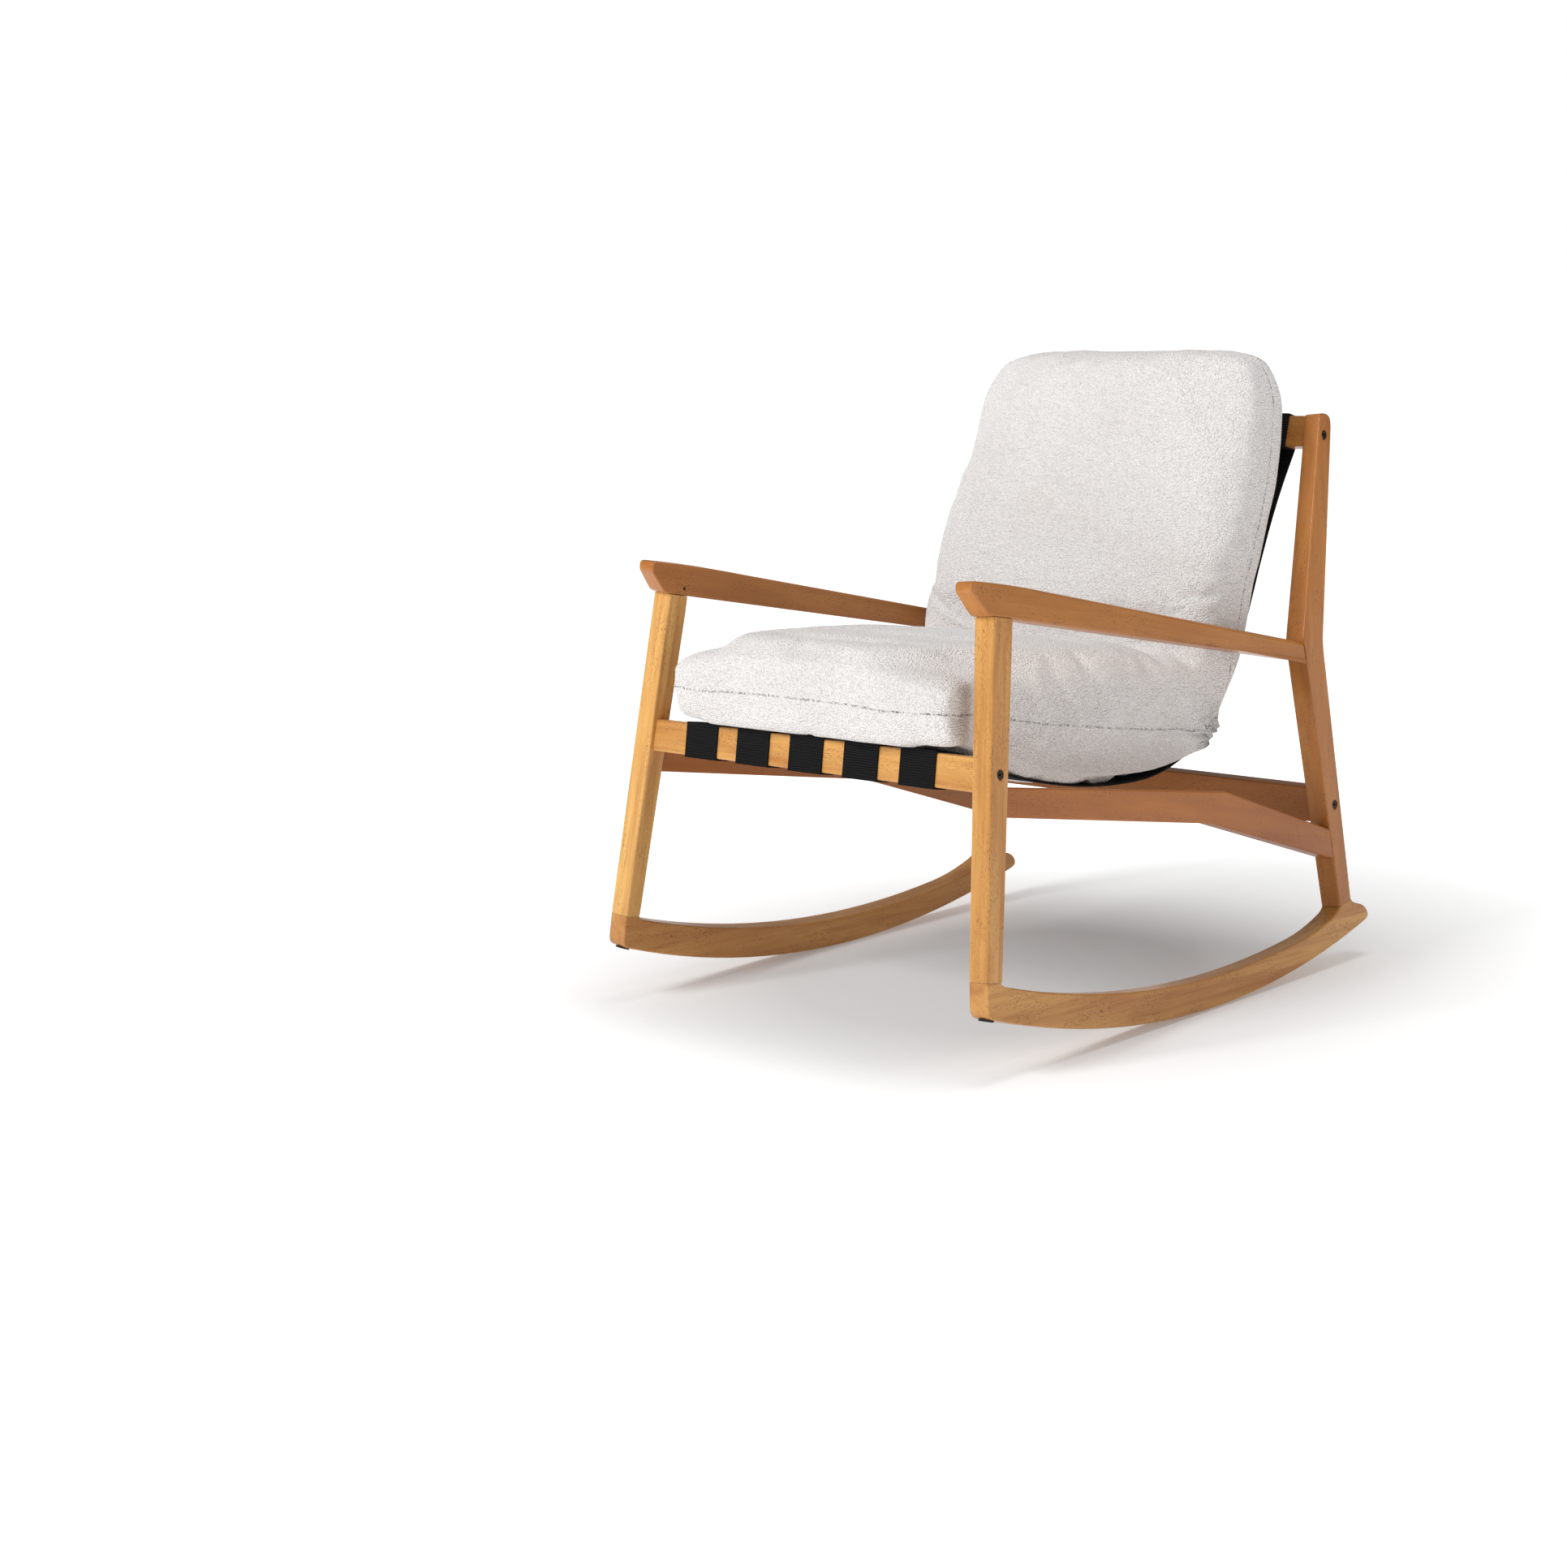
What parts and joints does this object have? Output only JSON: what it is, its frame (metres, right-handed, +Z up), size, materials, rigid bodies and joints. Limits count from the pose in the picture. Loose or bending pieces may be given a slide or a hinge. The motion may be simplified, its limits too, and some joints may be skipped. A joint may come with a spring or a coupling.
{
  "type": "rocking chair",
  "caption": "Beech rocking chair for a nursery: splayed side frames on curved rockers, a webbing sling seat and one loose seat-and-back cushion.",
  "frame": {"origin": "on the floor under the middle of the chair's overall box", "axes": "+Z up, -Y towards the front of the chair, +X towards the side frames whose nodes end in _right"},
  "size_m": [0.7118, 0.876, 0.879],
  "materials": {
    "beech": "satin lacquer",
    "webbing": "ribbed woven tape",
    "cushion_cloth": "off-white textured weave",
    "bronze_bolts": "dark bronze",
    "steel_nuts": "plain",
    "rubber_pads": "matt black"
  },
  "bodies": {
    "frame": {"rocker_right": "beech", "rocker_left": "beech", "front_leg_right": "beech", "front_leg_left": "beech", "rear_post_right": "beech", "rear_post_left": "beech", "arm_right": "beech", "arm_left": "beech", "side_rail_right": "beech", "side_rail_left": "beech", "leg_to_rocker_dowel_right": "beech", "leg_to_rocker_dowel_left": "beech", "post_to_rocker_dowel_right": "beech", "post_to_rocker_dowel_left": "beech", "arm_to_leg_dowel_right": "beech", "arm_to_leg_dowel_left": "beech", "arm_to_post_dowel_right": "beech", "arm_to_post_dowel_left": "beech", "rail_to_leg_dowel_right": "beech", "rail_to_leg_dowel_left": "beech", "rail_to_post_dowel_right": "beech", "rail_to_post_dowel_left": "beech", "front_seat_rail": "beech", "rear_stretcher": "beech", "top_back_rail": "beech", "sling_strap_1": "webbing", "sling_strap_2": "webbing", "sling_strap_3": "webbing", "sling_strap_4": "webbing", "sling_strap_5": "webbing", "front_rail_bolt_right": "bronze_bolts", "front_rail_bolt_left": "bronze_bolts", "stretcher_bolt_right": "bronze_bolts", "stretcher_bolt_left": "bronze_bolts", "top_rail_bolt_right": "bronze_bolts", "top_rail_bolt_left": "bronze_bolts", "arm_screw_right": "bronze_bolts", "arm_screw_left": "bronze_bolts", "front_rail_nut_right": "steel_nuts", "front_rail_nut_left": "steel_nuts", "stretcher_nut_right": "steel_nuts", "stretcher_nut_left": "steel_nuts", "top_rail_nut_right": "steel_nuts", "top_rail_nut_left": "steel_nuts", "rocker_pad_right": "rubber_pads", "rocker_pad_left": "rubber_pads"},
    "cushion": {"seat_cushion": "cushion_cloth", "back_cushion": "cushion_cloth"}
  },
  "joints": [
    {"name": "cushion_lift", "type": "slide", "parent": "frame", "child": "cushion", "axis": [0, 0, 1], "range_m": [0, 0.55]}
  ]
}
